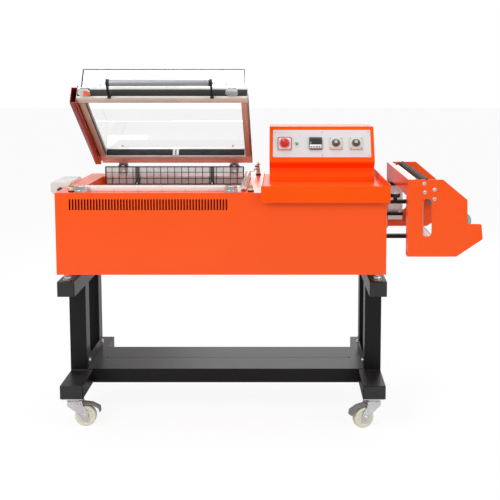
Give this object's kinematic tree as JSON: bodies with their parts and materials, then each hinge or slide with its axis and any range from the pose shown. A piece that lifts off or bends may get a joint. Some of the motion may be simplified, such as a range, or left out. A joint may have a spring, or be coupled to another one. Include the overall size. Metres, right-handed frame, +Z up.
{
  "type": "l bar sealer",
  "caption": "Chamber sealer on a wheeled stand: a hinged clear hood closes on an L of hot-wire jaws, beside a control box, packing tray and film cradle.",
  "frame": {"origin": "on the floor under the centre of the whole machine's box, hood open", "axes": "+X to the operator's right along the machine, +Y away from the operator, +Z up"},
  "size_m": [1.5166, 0.64, 1.2588],
  "materials": {
    "black_paint": "satin black powder coat",
    "zinc_steel": "zinc plated",
    "cream_nylon": "moulded nylon",
    "grey_plastic": "moulded",
    "orange_paint": "gloss orange-red enamel",
    "light_grey_paint": "satin paint",
    "stainless": "brushed",
    "aluminium": "satin anodised",
    "dark_iron": "dark stoved coating",
    "bakelite": "phenolic laminate",
    "bright_steel": "polished",
    "brass": "machined, under white insulators",
    "silicone": "tan silicone foam",
    "clear_acrylic": "clear polished acrylic sheet",
    "red_plastic": "moulded",
    "green_plastic": "translucent lens",
    "black_plastic": "moulded",
    "beige_plastic": "moulded",
    "teal_coating": "rubberised coating"
  },
  "bodies": {
    "base": {"left_frame": "black_paint", "right_frame": "black_paint", "shelf": "black_paint", "unit_rails": "black_paint", "stand_bolts": "zinc_steel", "caster_plates": "zinc_steel", "unit_bracket": "zinc_steel", "base_plate": "zinc_steel", "front_panel": "orange_paint", "body_wrapper": "orange_paint", "top_plate": "orange_paint", "packing_tray": "orange_paint", "control_box": "orange_paint", "near_side_plate": "orange_paint", "far_side_plate": "orange_paint", "film_unit_panel": "orange_paint", "junction_box": "light_grey_paint", "chamber_tub": "stainless", "product_mesh": "stainless", "heater_elements": "stainless", "front_jaw": "aluminium", "panel_plate": "aluminium", "fan_motor": "dark_iron", "transformer": "dark_iron", "air_outlet_grille": "dark_iron", "right_jaw": "bakelite", "seal_wire": "bright_steel", "electromagnets": "bright_steel", "guide_rods": "bright_steel", "hinge_blocks": "bright_steel", "wire_terminals": "brass", "power_lamp": "green_plastic", "temperature_controller": "black_plastic", "timer_housings": "beige_plastic"},
    "hood": {"hood_front_rail": "aluminium", "hood_rear_rail": "aluminium", "hood_left_rail": "orange_paint", "hood_right_rail": "aluminium", "seal_pads": "silicone", "dome": "clear_acrylic", "handle": "black_paint", "armature_discs": "bright_steel", "hinge_leaves": "aluminium"},
    "fan": {"fan_wheel": "aluminium"},
    "main_switch": {"main_switch_knob": "red_plastic"},
    "left_timer": {"left_timer_knob": "black_plastic"},
    "right_timer": {"right_timer_knob": "black_plastic"},
    "outer_film_roller": {"outer_roller": "teal_coating"},
    "inner_film_roller": {"inner_roller": "teal_coating"},
    "film_unit_clamp": {"clamp_knob": "black_plastic"},
    "front_left_caster": {"front_left_fork": "zinc_steel"},
    "front_left_caster_wheel": {"front_left_wheel": "cream_nylon"},
    "front_right_caster": {"front_right_fork": "zinc_steel"},
    "front_right_caster_wheel": {"front_right_wheel": "cream_nylon"},
    "rear_left_caster": {"rear_left_fork": "zinc_steel"},
    "rear_left_caster_wheel": {"rear_left_wheel": "cream_nylon"},
    "rear_right_caster": {"rear_right_fork": "zinc_steel"},
    "rear_right_caster_wheel": {"rear_right_wheel": "cream_nylon"},
    "front_left_pedal": {"front_left_brake": "grey_plastic"},
    "front_right_pedal": {"front_right_brake": "grey_plastic"}
  },
  "joints": [
    {"name": "hood_hinge", "type": "hinge", "parent": "base", "child": "hood", "pos_m": [0, 0.3, 0.871], "axis": [1, 0, 0], "range_deg": [0, 32], "stiffness_Nm_per_rad": 20, "springref_deg": -80.21},
    {"name": "fan_spin", "type": "hinge", "parent": "base", "child": "fan", "pos_m": [-0.342, -0.008, 0.67], "axis": [0, 0, 1], "continuous": true},
    {"name": "main_switch_turn", "type": "hinge", "parent": "base", "child": "main_switch", "pos_m": [0.09, 0.03441, 0.98196], "axis": [0, 0.8708, -0.4916], "range_deg": [0, 90]},
    {"name": "left_timer_turn", "type": "hinge", "parent": "base", "child": "left_timer", "pos_m": [0.2812, 0.03441, 0.98196], "axis": [0, 0.8708, -0.4916], "range_deg": [0, 270]},
    {"name": "right_timer_turn", "type": "hinge", "parent": "base", "child": "right_timer", "pos_m": [0.3561, 0.03441, 0.98196], "axis": [0, 0.8708, -0.4916], "range_deg": [0, 270]},
    {"name": "outer_roller_spin", "type": "hinge", "parent": "base", "child": "outer_film_roller", "pos_m": [0.6905, 0, 0.747], "axis": [0, 1, 0], "continuous": true},
    {"name": "inner_roller_spin", "type": "hinge", "parent": "base", "child": "inner_film_roller", "pos_m": [0.6005, 0, 0.653], "axis": [0, 1, 0], "continuous": true},
    {"name": "clamp_turn", "type": "hinge", "parent": "base", "child": "film_unit_clamp", "pos_m": [0.4695, -0.25, 0.82], "axis": [0, 0, 1], "range_deg": [0, 360]},
    {"name": "front_left_swivel", "type": "hinge", "parent": "base", "child": "front_left_caster", "pos_m": [-0.6555, -0.229, 0.09], "axis": [0, 0, 1], "continuous": true},
    {"name": "front_left_wheel_spin", "type": "hinge", "parent": "front_left_caster", "child": "front_left_caster_wheel", "pos_m": [-0.6155, -0.229, 0.0375], "axis": [0, 1, 0], "continuous": true},
    {"name": "front_left_pedal_tilt", "type": "hinge", "parent": "front_left_caster", "child": "front_left_pedal", "pos_m": [-0.6305, -0.229, 0.082], "axis": [0, 1, 0], "range_deg": [0, 7]},
    {"name": "front_right_swivel", "type": "hinge", "parent": "base", "child": "front_right_caster", "pos_m": [0.4025, -0.229, 0.09], "axis": [0, 0, 1], "continuous": true},
    {"name": "front_right_wheel_spin", "type": "hinge", "parent": "front_right_caster", "child": "front_right_caster_wheel", "pos_m": [0.36625, -0.24591, 0.0375], "axis": [0.4226, -0.9063, 0], "continuous": true},
    {"name": "front_right_pedal_tilt", "type": "hinge", "parent": "front_right_caster", "child": "front_right_pedal", "pos_m": [0.37984, -0.23957, 0.082], "axis": [0.4226, -0.9063, 0], "range_deg": [0, 7]},
    {"name": "rear_left_swivel", "type": "hinge", "parent": "base", "child": "rear_left_caster", "pos_m": [-0.6555, 0.274, 0.09], "axis": [0, 0, 1], "continuous": true},
    {"name": "rear_left_wheel_spin", "type": "hinge", "parent": "rear_left_caster", "child": "rear_left_caster_wheel", "pos_m": [-0.61791, 0.28768, 0.0375], "axis": [-0.342, 0.9397, 0], "continuous": true},
    {"name": "rear_right_swivel", "type": "hinge", "parent": "base", "child": "rear_right_caster", "pos_m": [0.4025, 0.274, 0.09], "axis": [0, 0, 1], "continuous": true},
    {"name": "rear_right_wheel_spin", "type": "hinge", "parent": "rear_right_caster", "child": "rear_right_caster_wheel", "pos_m": [0.36386, 0.28435, 0.0375], "axis": [-0.2588, -0.9659, 0], "continuous": true}
  ]
}
